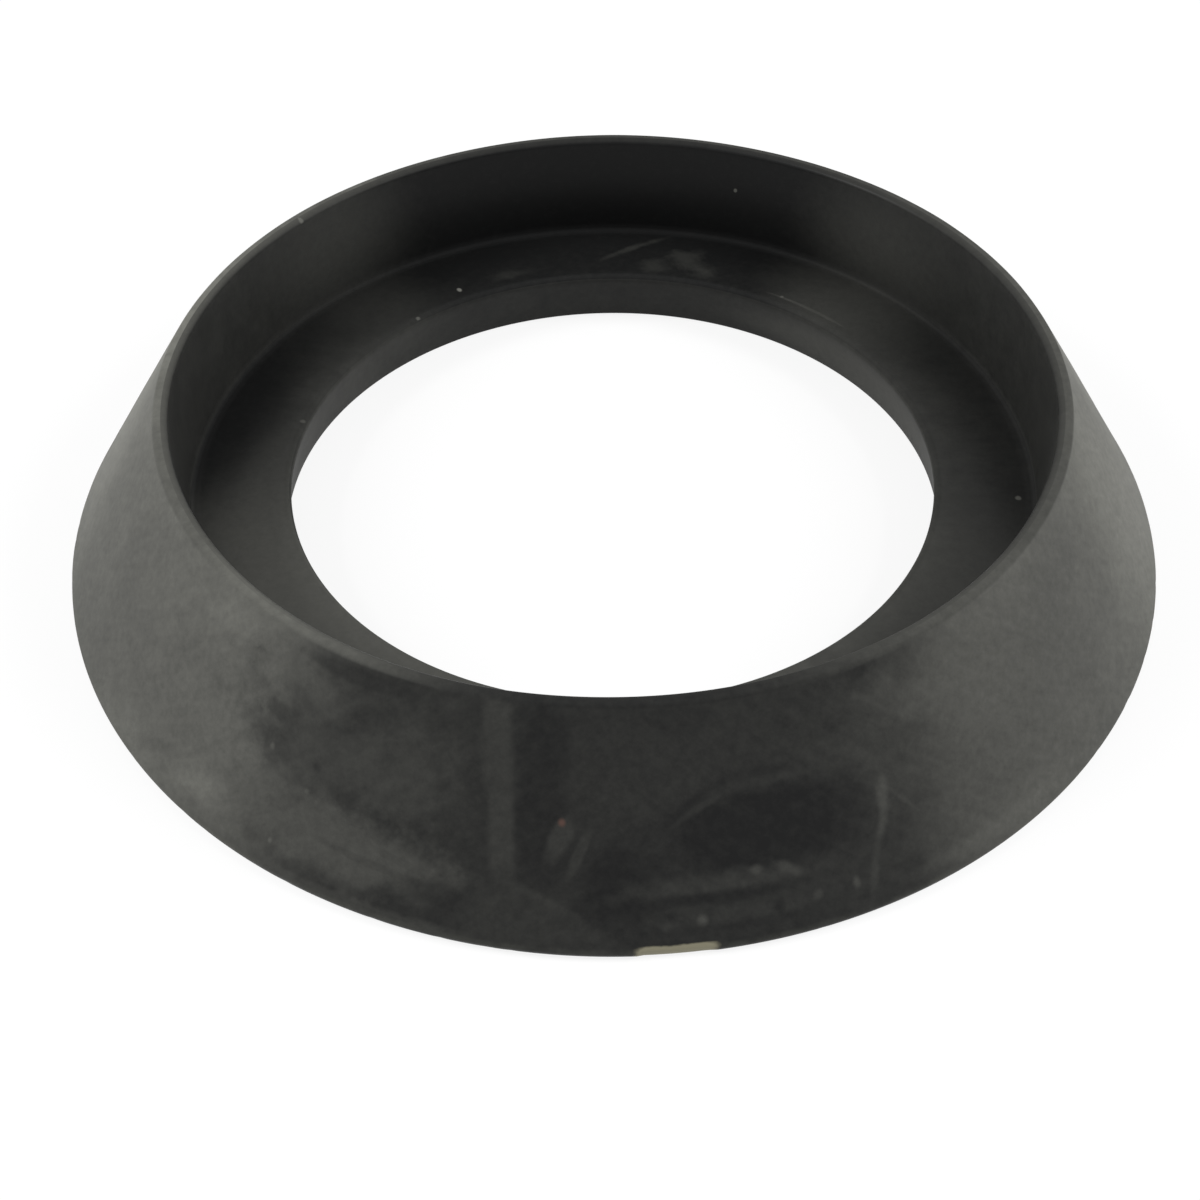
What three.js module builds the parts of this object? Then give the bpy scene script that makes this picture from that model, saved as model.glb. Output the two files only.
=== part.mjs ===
// Tank to bowl gasket: one moulded ring of black rubber.
//
// It stands on its wide, flat base. The outside is a plain cone that narrows upwards
// to a thin lip. Inside the lip a deep round recess has a vertical wall and a flat
// floor, and a round bore goes through the floor and widens a little towards the base.
//
// Millimetres, +Z up along the ring's axis, origin at the centre of the base plane.

import * as THREE from 'three';

// Driving dimensions
const baseDiameter = 102; // outside, at its widest, on the eased edge of the base
const height = 16.8; // base plane to the crest of the lip
const recessDiameter = 78.5; // vertical wall inside the lip, clears the backnut
const lipWidth = 1.2; // between the recess wall and the cone, at the crest
const floorThickness = 5.7; // base plane to the floor of the recess
const boreRimDiameter = 60; // at the recess floor, slips over the flush valve's shank
const boreFootDiameter = 62.5; // at the base plane, wider to lead the shank in

// Edge radii
const baseEdgeRadius = 0.6; // outer edge of the base
const lipOuterRadius = 0.4; // crest of the lip, cone side
const lipInnerRadius = 0.6; // crest of the lip, recess side
const recessCornerRadius = 0.4; // between the recess wall and its floor
const boreRimRadius = 0.5; // upper edge of the bore
const boreFootRadius = 0.5; // lower edge of the bore

// Smoothness of the faceted solid
const segmentsRound = 132;
const segmentsPerEdge = 4;

// Colour and finish of the moulded rubber
const rubber = new THREE.MeshStandardMaterial({ color: 0x2b2b29, roughness: 0.62, metalness: 0 });

// Where the cone's line from the lip meets the base plane. The line touches the arc of
// the base's edge, which reaches out to the base diameter.
function sharpBaseCorner(lip) {
  const arcCentre = new THREE.Vector2(baseDiameter / 2 - baseEdgeRadius, baseEdgeRadius);
  const toCentre = arcCentre.sub(lip);
  const turn = Math.asin(baseEdgeRadius / toCentre.length());
  const alongCone = toCentre.rotateAround(new THREE.Vector2(), turn);
  return lip.clone().addScaledVector(alongCone, -lip.y / alongCone.y);
}

// The ring's section: one corner for each change of face, counterclockwise with the
// radius to the right and the height up, each with the radius that eases its edge.
function sectionCorners() {
  const recess = recessDiameter / 2;
  const lip = new THREE.Vector2(recess + lipWidth, height);
  return [
    { at: new THREE.Vector2(boreFootDiameter / 2, 0), radius: boreFootRadius },
    { at: sharpBaseCorner(lip), radius: baseEdgeRadius },
    { at: lip, radius: lipOuterRadius },
    { at: new THREE.Vector2(recess, height), radius: lipInnerRadius },
    { at: new THREE.Vector2(recess, floorThickness), radius: recessCornerRadius },
    { at: new THREE.Vector2(boreRimDiameter / 2, floorThickness), radius: boreRimRadius },
  ];
}

// Points of the arc that eases one corner, tangent to both faces that meet there. It
// takes up half of the shorter face at most.
function easedCorner(before, corner, after) {
  const toBefore = before.clone().sub(corner.at);
  const toAfter = after.clone().sub(corner.at);
  const room = Math.min(toBefore.length(), toAfter.length()) / 2;
  toBefore.normalize();
  toAfter.normalize();
  const halfAngle = Math.acos(THREE.MathUtils.clamp(toBefore.dot(toAfter), -1, 1)) / 2;
  const reach = Math.min(corner.radius / Math.tan(halfAngle), room);
  const radius = reach * Math.tan(halfAngle);
  const bisector = toBefore.clone().add(toAfter).normalize();
  const centre = corner.at.clone().addScaledVector(bisector, radius / Math.sin(halfAngle));
  const first = corner.at.clone().addScaledVector(toBefore, reach).sub(centre);
  const last = corner.at.clone().addScaledVector(toAfter, reach).sub(centre);
  const start = first.angle();
  let sweep = last.angle() - start;
  if (sweep > Math.PI) {
    sweep -= 2 * Math.PI;
  }
  if (sweep < -Math.PI) {
    sweep += 2 * Math.PI;
  }
  const points = [];
  for (let step = 0; step <= segmentsPerEdge; step += 1) {
    const angle = start + (sweep * step) / segmentsPerEdge;
    const onArc = new THREE.Vector2(Math.cos(angle), Math.sin(angle));
    points.push(onArc.multiplyScalar(radius).add(centre));
  }
  return points;
}

// The closed outline that is turned into the ring.
function ringSection() {
  const corners = sectionCorners();
  const outline = corners.flatMap((corner, index) => {
    const before = corners[(index + corners.length - 1) % corners.length].at;
    const after = corners[(index + 1) % corners.length].at;
    return easedCorner(before, corner, after);
  });
  outline.push(outline[0].clone());
  return outline;
}

// The section turned about the ring's axis.
function makeGasket() {
  const geometry = new THREE.LatheGeometry(ringSection(), segmentsRound);
  geometry.rotateX(Math.PI / 2);
  const mesh = new THREE.Mesh(geometry, rubber);
  mesh.name = 'gasket';
  return mesh;
}

const tankToBowlGasket = new THREE.Group();
tankToBowlGasket.name = 'tank_to_bowl_gasket';
tankToBowlGasket.add(makeGasket());

export default tankToBowlGasket;
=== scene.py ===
"""A tank to bowl gasket: one moulded ring of black rubber, used and a little dusty.

The ring stands on its wide base on a pale floor under soft light from both sides. Its
faces carry a grey bloom, wiped and smeared patches, dust and one scraped stretch of
the base's edge, and painted light: a grazing sheen towards the flanks' outlines,
painted highlights, sheen and shade inside, and a painted highlight along the lip's
crest. Lengths are in metres, +Z is up, and the ring's axis is the Z axis.
"""

import logging
import math
from dataclasses import dataclass
from enum import Enum

import bpy
from mathutils import Matrix, Vector, noise


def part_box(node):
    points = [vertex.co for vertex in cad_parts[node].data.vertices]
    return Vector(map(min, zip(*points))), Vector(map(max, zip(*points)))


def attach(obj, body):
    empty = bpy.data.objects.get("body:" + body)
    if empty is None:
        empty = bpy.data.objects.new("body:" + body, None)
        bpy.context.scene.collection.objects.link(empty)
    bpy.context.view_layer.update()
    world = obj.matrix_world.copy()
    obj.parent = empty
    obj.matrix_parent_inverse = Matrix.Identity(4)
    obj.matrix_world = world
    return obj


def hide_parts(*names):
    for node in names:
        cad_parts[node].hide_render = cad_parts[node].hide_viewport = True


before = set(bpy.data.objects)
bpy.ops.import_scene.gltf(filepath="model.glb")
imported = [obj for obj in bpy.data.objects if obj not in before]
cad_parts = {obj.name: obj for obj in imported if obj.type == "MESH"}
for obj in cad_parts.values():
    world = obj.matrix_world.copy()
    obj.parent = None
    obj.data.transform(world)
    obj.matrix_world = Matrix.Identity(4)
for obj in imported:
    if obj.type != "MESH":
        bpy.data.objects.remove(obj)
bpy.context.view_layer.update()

LOG = logging.getLogger("gasket")
MM = 0.001
NOISE_MEAN = 0.5

Colour = tuple[float, float, float, float]
WHITE: Colour = (1.0, 1.0, 1.0, 1.0)
Socket = bpy.types.NodeSocket
Outputs = bpy.types.bpy_prop_collection
Value = Socket | float | tuple[float, ...]


class Side(Enum):
    """The two sides of the ring that carry marks, each with its mm per degree round it."""

    OUTER = 0.8
    INNER = 0.6


@dataclass(frozen=True)
class RingSizes:
    """The ring's section, in metres. The outside and the height come from the frame."""

    base_radius: float
    height: float
    recess_radius: float = 39.25 * MM
    lip_width: float = 1.2 * MM
    floor_height: float = 5.7 * MM
    bore_rim_radius: float = 30.0 * MM
    bore_foot_radius: float = 31.25 * MM
    base_edge: float = 0.6 * MM
    lip_outer_edge: float = 0.4 * MM
    lip_inner_edge: float = 0.6 * MM
    recess_corner: float = 0.4 * MM
    bore_rim_edge: float = 0.5 * MM
    bore_foot_edge: float = 0.5 * MM

    @classmethod
    def from_frame(cls, node: str) -> "RingSizes":
        """Takes the outside from the box of the node that holds the ring."""
        low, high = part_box(node)
        return cls(base_radius=(high[0] - low[0]) / 2, height=high[2] - low[2])

    def lip_corner(self) -> Vector:
        """Returns the sharp corner between the cone and the crest."""
        return Vector((self.recess_radius + self.lip_width, self.height))

    def base_corner(self) -> Vector:
        """Finds where the cone's line meets the base plane, outside the eased edge.

        Returns:
            Radius and height of that corner.
        """
        lip = self.lip_corner()
        to_centre = Vector((self.base_radius - self.base_edge, self.base_edge)) - lip
        turn = math.asin(self.base_edge / to_centre.length)
        along = Matrix.Rotation(turn, 2) @ to_centre
        return lip - along * (lip.y / along.y)

    def corners(self) -> list[tuple[Vector, float]]:
        """Lists the corners of the section, from the bore's foot outwards and round.

        Returns:
            Each corner with the radius that eases it.
        """
        return [
            (Vector((self.bore_foot_radius, 0.0)), self.bore_foot_edge),
            (self.base_corner(), self.base_edge),
            (self.lip_corner(), self.lip_outer_edge),
            (Vector((self.recess_radius, self.height)), self.lip_inner_edge),
            (Vector((self.recess_radius, self.floor_height)), self.recess_corner),
            (Vector((self.bore_rim_radius, self.floor_height)), self.bore_rim_edge),
        ]


@dataclass(frozen=True)
class Section:
    """The ring's outline as a fine closed row of points."""

    sizes: RingSizes
    face_step: float = 0.7 * MM
    edge_steps: int = 7

    def eased_corner(
        self, before: Vector, corner: Vector, after: Vector, radius: float
    ) -> list[Vector]:
        """Finds the arc that eases one corner.

        Args:
            before: The corner before it.
            corner: The sharp corner.
            after: The corner after it.
            radius: Radius of the arc.

        Returns:
            Points along the arc, from the face before to the face after.
        """
        to_before = (before - corner).normalized()
        to_after = (after - corner).normalized()
        half = to_before.angle(to_after) / 2
        centre = corner + (to_before + to_after).normalized() * (radius / math.sin(half))
        reach = radius / math.tan(half)
        first = corner + to_before * reach - centre
        last = corner + to_after * reach - centre
        sweep = math.atan2(first.x * last.y - first.y * last.x, first.dot(last))
        steps = range(self.edge_steps + 1)
        return [centre + Matrix.Rotation(sweep * i / self.edge_steps, 2) @ first for i in steps]

    def points(self) -> list[Vector]:
        """Draws the whole outline, with the flat faces cut into short steps.

        Returns:
            Radius and height of each point.
        """
        corners = self.sizes.corners()
        arcs = []
        for i, (corner, radius) in enumerate(corners):
            before = corners[i - 1][0]
            after = corners[(i + 1) % len(corners)][0]
            arcs.append(self.eased_corner(before, corner, after, radius))
        outline = []
        for i, arc in enumerate(arcs):
            outline.extend(arc)
            start = arc[-1]
            end = arcs[(i + 1) % len(arcs)][0]
            steps = max(1, round((end - start).length / self.face_step))
            outline.extend(start.lerp(end, k / steps) for k in range(1, steps))
        return outline


@dataclass(frozen=True)
class Faults:
    """How far the soft moulding strays from its true form, and its scraped edge.

    The waves say how fast an unevenness changes round the ring or over its faces.
    """

    lip_drop: float = 0.12 * MM
    lip_shift: float = 0.12 * MM
    lip_drop_bias: float = 0.5
    lip_shift_waves: float = 1.6
    lip_drop_waves: float = 1.4
    face_ripple: float = 0.03 * MM
    face_waves: float = 150.0
    fine_waves: float = 430.0
    fine_share: float = 0.4
    edge_chip: float = 0.1 * MM
    edge_waves: float = 40.0
    edge_kept: float = 0.3
    scrape_depth: float = 0.15 * MM
    scrape_from: float = math.radians(1.9)
    scrape_to: float = math.radians(8.4)
    scrape_run_out: float = math.radians(0.4)

    def lip_offset(self, around: Vector) -> tuple[float, float]:
        """Finds how the lip strays at one place round the ring.

        Args:
            around: Unit vector from the axis to that place.

        Returns:
            The radial and the vertical offset.
        """
        shift = noise.noise(around * self.lip_shift_waves + Vector((3.1, 0.4, 0.0)))
        drop = noise.noise(around * self.lip_drop_waves + Vector((0.0, 5.2, 7.7)))
        return self.lip_shift * shift, self.lip_drop * (drop - self.lip_drop_bias)

    def ripple(self, spot: Vector) -> float:
        """Finds how far the outside strays at one spot.

        Args:
            spot: The spot in space.

        Returns:
            The radial offset.
        """
        coarse = noise.noise(spot * self.face_waves)
        fine = noise.noise(spot * self.fine_waves)
        return self.face_ripple * (coarse + self.fine_share * fine)

    def edge_loss(self, azimuth: float, around: Vector) -> float:
        """Finds how much the base's edge has lost at one place round the ring.

        Args:
            azimuth: Angle round the ring from the front.
            around: Unit vector from the axis to that place.

        Returns:
            The depth lost.
        """
        uneven = noise.noise(around * self.edge_waves + Vector((9.0, 2.0, 1.0)))
        chip = max(0.0, uneven - self.edge_kept)
        into = (azimuth - self.scrape_from) / self.scrape_run_out
        out_of = (self.scrape_to - azimuth) / self.scrape_run_out
        scraped = max(0.0, min(1.0, into, out_of))
        return self.edge_chip * chip + self.scrape_depth * scraped


@dataclass(frozen=True)
class Mark:
    """One soft-edged patch: a smear, a wipe, a cloud of bloom, a streak, a speck, a
    painted highlight, a painted reflection or painted shade.

    An outer mark lies on the cone. Its azimuth runs from the front, positive to the
    right, and up is the height. An inner mark's azimuth runs from the back, positive to
    the left as the camera sees it, and up is the radius on the floor, about 30 to 39, or
    the height on the wall. The level is the bloom the patch has, from 0, wiped bare, to
    1, fully grey, or a little over; in a painted mark it is painted light or shade on the
    same scale. The lean turns it anticlockwise in degrees, and the bend lifts its ends,
    in half heights. The softness is how much of the mark its edge fades over. A
    squareness of 1 makes an oval, and 2 one with fuller corners.
    """

    azimuth: float
    up_mm: float
    half_across_mm: float
    half_up_mm: float
    level: float
    strength: float = 0.7
    lean: float = 0.0
    bend: float = 0.0
    softness: float = 0.9
    ragged: float = 0.4
    squareness: float = 1.0

    def edges(self) -> tuple[float, float]:
        """Returns where the mark starts and ends to fade, with 1 at its nominal edge."""
        outward_share = 0.4
        return 1.0 - self.softness, 1.0 + outward_share * self.softness

    def rows(self, side: Side) -> tuple[Vector, Vector]:
        """Finds what turns a place on the unrolled side into one within the mark.

        Args:
            side: The side of the ring the mark is on.

        Returns:
            The row for along the mark and the row for up it, each for (x, y, 1).
        """
        lean = math.radians(self.lean)
        cosine, sine = math.cos(lean), math.sin(lean)
        across = self.azimuth * side.value
        along = Vector((cosine, sine, -across * cosine - self.up_mm * sine))
        upward = Vector((-sine, cosine, across * sine - self.up_mm * cosine))
        return along / self.half_across_mm, upward / self.half_up_mm

    def touches(self, side: Side, start: float, stop: float) -> bool:
        """Tells whether the mark, with its soft edge, reaches a stretch of the ring.

        Args:
            side: The side of the ring the mark is on.
            start: Azimuth where the stretch starts, in degrees.
            stop: Azimuth where it stops.

        Returns:
            Whether any of the mark may show there.
        """
        lean = math.radians(self.lean)
        half = self.half_across_mm * abs(math.cos(lean)) + self.half_up_mm * abs(math.sin(lean))
        reach = half * (self.edges()[1] + self.ragged) / side.value
        return start - reach < self.azimuth < stop + reach


@dataclass(frozen=True)
class Zone:
    """A stretch of one side of the ring that has its own material and marks."""

    side: Side
    start: float = -180.0
    stop: float = 180.0

    def name(self) -> str:
        """Returns a name for the zone's material."""
        return f"moulded_rubber_{self.side.name.lower()}_{self.start + 180.0:.0f}"

    def marks(self) -> list[Mark]:
        """Returns the marks that may show in the zone."""
        marks = OUTER_MARKS if self.side is Side.OUTER else INNER_MARKS
        return [mark for mark in marks if mark.touches(self.side, self.start, self.stop)]


OUTER_MARKS = (
    # Broad clouds of bloom
    Mark(-38.0, 8.5, 5.0, 12.0, 0.66, 0.6),
    Mark(79.0, 9.0, 10.0, 14.0, 1.0, 0.6),
    Mark(-99.0, 11.0, 8.0, 7.0, 1.15),
    Mark(51.0, 8.5, 15.0, 13.0, 0.4, 0.85),
    Mark(25.5, 11.0, 5.5, 5.0, 0.24, 0.6),
    Mark(-17.0, 12.5, 5.0, 5.5, 0.13, 0.6),
    # The wiped dark patch at front left and the blotches in it
    Mark(-27.5, 11.2, 10.0, 4.4, 0.22, 0.9, softness=0.6, ragged=0.6, squareness=1.6),
    Mark(-27.0, 15.7, 6.6, 0.6, 0.06, 0.6, softness=0.5),
    Mark(-25.0, 13.4, 4.2, 1.2, 0.05, 0.7, 24.0, -0.4),
    Mark(-33.0, 14.3, 4.0, 1.2, 0.42, 0.6, -18.0),
    Mark(-35.0, 9.3, 3.4, 1.3, 0.1, 0.45, ragged=0.7),
    Mark(-35.5, 11.3, 2.0, 0.8, 0.08, 0.5, softness=0.5, ragged=0.8),
    Mark(-39.2, 12.2, 2.0, 1.2, 0.3, 0.5, ragged=0.6),
    Mark(-29.6, 8.9, 0.6, 0.35, 0.016, 0.45),
    Mark(-21.0, 11.6, 3.6, 1.8, 0.2, 0.6, ragged=0.7),
    # The pale smears under that patch
    Mark(-27.0, 4.4, 11.0, 2.7, 0.4, 0.85, softness=0.6, ragged=0.5),
    Mark(-27.5, 7.2, 4.0, 0.8, 0.36, 0.5, -24.0, ragged=0.8),
    Mark(-29.5, 6.8, 6.5, 0.5, 0.44, 0.4),
    Mark(-42.3, 3.2, 3.4, 1.5, 0.85, 0.75, 12.0, ragged=0.6),
    Mark(-48.6, 3.2, 2.6, 0.5, 0.42, 0.6, 24.0),
    Mark(-34.7, 2.4, 1.5, 0.9, 0.2, 0.5, ragged=0.8),
    Mark(-18.2, 4.75, 3.4, 0.3, 0.263, 0.6, -9.0, softness=0.5),
    Mark(-22.5, 4.15, 5.0, 0.3, 0.213, 0.5, -4.0, softness=0.5),
    Mark(-15.3, 3.4, 3.4, 1.0, 0.03, softness=0.8),
    Mark(-24.4, 2.0, 1.8, 0.4, 0.15, 0.6, ragged=0.7),
    Mark(-19.7, 2.4, 1.2, 0.35, 0.06, 0.6, 14.0, ragged=0.7),
    Mark(-25.0, 1.0, 14.0, 0.6, 0.32, 0.5, softness=0.5),
    # The pale upright stripe, after the dark beside it
    Mark(-6.6, 11.0, 2.4, 6.4, 0.02, 0.8, 3.0, softness=0.5, squareness=1.6),
    Mark(-11.6, 14.2, 1.3, 3.7, 0.2, 0.8, 9.0, softness=0.5, ragged=0.15, squareness=3.0),
    Mark(-10.4, 8.2, 1.05, 3.5, 0.2, 0.85, 7.0, softness=0.5, ragged=0.15, squareness=3.0),
    # The middle of the front
    Mark(2.5, 12.6, 6.3, 3.4, 0.095, 0.8, softness=0.4, ragged=0.3),
    Mark(6.0, 15.9, 4.2, 1.2, 0.03, 0.4, ragged=0.6),
    Mark(0.6, 5.0, 3.4, 3.3, 0.0, 0.8, softness=0.6, ragged=0.2, squareness=1.6),
    Mark(-3.3, 12.3, 0.8, 2.7, 0.1, 0.6, -9.0, softness=0.7),
    # Two short smears, and the pale wedge at the foot
    Mark(-4.9, 8.4, 0.9, 1.8, 0.2, 0.75, -28.0, softness=0.5, ragged=0.3),
    Mark(-3.1, 7.4, 0.45, 2.0, 0.19, 0.65, -26.0, softness=0.5, ragged=0.3),
    Mark(-6.4, 0.9, 6.2, 3.3, 0.13, 0.85, -24.0, softness=0.3, ragged=0.12, squareness=1.6),
    Mark(-7.0, 4.4, 3.2, 0.4, 0.2, 0.6, -20.0, -0.4),
    # The dark oval and the arcs over it
    Mark(14.2, 8.0, 8.8, 3.0, 0.0, 0.9, softness=0.4, ragged=0.15, squareness=1.4),
    Mark(7.8, 10.7, 3.6, 0.4, 0.01, 0.6, 28.0, -1.5, ragged=0.2),
    Mark(14.5, 11.75, 3.6, 0.4, 0.02, 0.5, ragged=0.3),
    Mark(8.2, 10.1, 3.0, 0.3, 0.15, 0.6, 22.0, -1.0, softness=0.8, ragged=0.2),
    Mark(15.0, 11.1, 4.6, 0.35, 0.13, 0.6, 1.0, softness=0.8, ragged=0.3),
    Mark(22.5, 7.5, 2.0, 2.8, 0.06, 0.5, softness=0.5),
    # Pale and dark smears under the oval
    Mark(9.0, 4.9, 7.2, 0.9, 0.16, 0.85, 0.0, -0.5, softness=0.8, ragged=0.7),
    Mark(10.0, 4.1, 7.2, 0.5, 0.0, 0.75, softness=0.8, ragged=0.5),
    Mark(11.5, 2.85, 8.6, 0.6, 0.12, 0.85, softness=0.8, ragged=0.9),
    Mark(14.4, 2.9, 0.45, 0.7, 0.001, 0.6),
    Mark(12.5, 2.0, 8.0, 0.4, 0.02, 0.5),
    Mark(4.9, 3.2, 0.5, 0.3, 0.0, 0.6),
    Mark(8.0, 1.2, 14.0, 0.45, 0.05, 0.5),
    # Specks in those smears
    Mark(12.8, 5.5, 0.45, 0.35, 0.42, 0.5),
    Mark(15.6, 5.2, 1.2, 0.4, 0.29, 0.6, -25.0),
    Mark(11.5, 4.7, 0.3, 0.3, 0.263, 0.52),
    Mark(8.0, 4.7, 0.3, 0.25, 0.213, 0.52),
    Mark(7.6, 2.7, 0.45, 0.45, 0.5, 0.55),
    Mark(21.7, 2.9, 0.35, 0.5, 0.5, 0.55),
    Mark(18.0, 2.9, 0.4, 0.36, 0.36, 0.5),
    Mark(4.6, 2.4, 0.4, 0.35, 0.168, 0.52),
    # The narrow streak right of the oval
    Mark(25.9, 7.9, 0.6, 1.3, 0.44, 0.7, -10.0),
    Mark(25.2, 6.0, 0.45, 1.7, 0.33, 0.65, -25.0),
    Mark(23.6, 3.2, 0.4, 2.0, 0.22, 0.65, -20.0),
    Mark(28.2, 6.8, 0.25, 1.6, 0.36, 0.4, 42.0),
    # Patches right of the streak
    Mark(26.8, 5.5, 1.2, 1.1, 0.08, 0.6),
    Mark(27.2, 2.8, 1.6, 0.8, 0.08, 0.6, softness=0.5),
    Mark(22.2, 13.6, 1.8, 1.5, 0.06, 0.5),
    Mark(26.2, 16.1, 0.8, 0.6, 0.04, softness=0.5),
    # The right flank
    Mark(35.0, 13.2, 8.0, 2.4, 0.5, 0.4, -8.0, ragged=0.7),
    Mark(36.5, 5.0, 5.6, 3.0, 0.34, 0.6, ragged=0.6),
    Mark(40.0, 1.9, 8.5, 0.8, 0.6, 0.5),
    Mark(60.2, 12.5, 2.1, 0.8, 0.38, 0.6, 38.0, softness=0.5),
    Mark(60.3, 3.2, 0.9, 0.8, 0.42, 0.55, softness=0.5),
    Mark(76.5, 8.6, 1.6, 0.7, 0.5, 0.4, -30.0, 0.8),
    # The left flank
    Mark(-56.5, 8.6, 1.8, 0.8, 0.5, 0.5, softness=0.5),
    Mark(-52.5, 11.8, 1.8, 0.8, 0.5, 0.5, softness=0.5),
    Mark(-45.0, 14.8, 3.5, 1.0, 0.85, 0.5, 8.0, softness=0.5),
    # Loose specks at front left
    Mark(-35.0, 8.8, 0.24, 0.26, 0.6, 0.6),
    Mark(-30.0, 7.1, 0.26, 0.24, 0.56, 0.52),
    Mark(-20.2, 6.8, 0.24, 0.26, 0.263, 0.6),
    Mark(-32.5, 2.8, 0.24, 0.24, 0.8, 0.52),
)

INNER_MARKS = (
    # Painted light inside: lamp highlights on wall and floor, sheen on the front floor and shade in
    # the corner at the left
    # Painted highlights: paler columns of lamp light on wall and floor at the two back corners
    Mark(47.0, 12.0, 8.0, 8.0, 0.24, 0.8, ragged=0.1),
    Mark(45.0, 35.0, 6.0, 6.0, 0.16, ragged=0.1),
    Mark(-45.0, 10.5, 8.0, 7.0, 0.26, 0.8, ragged=0.1),
    Mark(-45.0, 35.0, 9.0, 7.0, 0.28, 0.85, ragged=0.1),
    # Painted reflection: paler floor at the front left and the front right
    Mark(126.0, 33.5, 22.0, 9.0, 0.52, 0.95, ragged=0.15),
    Mark(-130.0, 34.0, 15.0, 8.0, 0.26, 0.9, ragged=0.15),
    # Painted shade: darker floor along the crease at the left
    Mark(78.0, 37.5, 13.5, 5.0, 0.0, 0.95, softness=0.7, ragged=0.1),
    Mark(89.5, 38.9, 6.0, 1.5, 0.0, ragged=0.1),
    # Painted highlight: the paler bore at the right
    Mark(-56.0, 2.4, 19.0, 2.7, 0.34, 0.8, softness=0.6, ragged=0.1),
    # Scuffs on the back floor, then a painted highlight line
    Mark(-3.5, 35.6, 4.8, 0.45, 0.2, 0.6, -35.0, ragged=0.7),
    Mark(-17.0, 32.8, 2.2, 1.5, 0.2, 0.6, ragged=0.9),
    Mark(-13.5, 34.3, 1.8, 1.8, 0.18, 0.6, ragged=0.9),
    Mark(-8.5, 32.6, 1.9, 1.4, 0.16, 0.6, ragged=0.9),
    Mark(20.0, 32.5, 2.6, 0.9, 0.12, 0.6, ragged=0.7),
    # Painted highlight: a thin light line along the bore's upper edge at the right back
    Mark(-42.0, 31.7, 6.0, 0.2, 0.35, softness=0.5),
    # Specks
    Mark(30.2, 32.2, 0.3, 0.4, 1.0, 1.0, softness=0.5, ragged=0.1),
    Mark(41.6, 30.4, 0.3, 0.3, 0.7, 0.8, softness=0.5),
    Mark(79.0, 30.6, 0.3, 0.3, 0.6, softness=0.5),
    Mark(-99.0, 37.7, 0.28, 0.3, 0.7, 0.8, softness=0.5),
    Mark(-34.6, 31.8, 0.2, 0.2, 0.6, 0.6, softness=0.5),
    Mark(-20.0, 12.0, 0.18, 0.24, 0.8, 0.9, softness=0.5),
    Mark(52.1, 16.6, 0.3, 0.3, 0.9, 0.9, softness=0.5),
)


OUTER_CUTS = (-180.0, -57.5, -37.5, -22.5, -10.0, 5.0, 20.0, 32.5, 90.0, 180.0)
ZONES = (
    Zone(Side.INNER),
    *(Zone(Side.OUTER, start, stop) for start, stop in zip(OUTER_CUTS, OUTER_CUTS[1:])),
)


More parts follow.
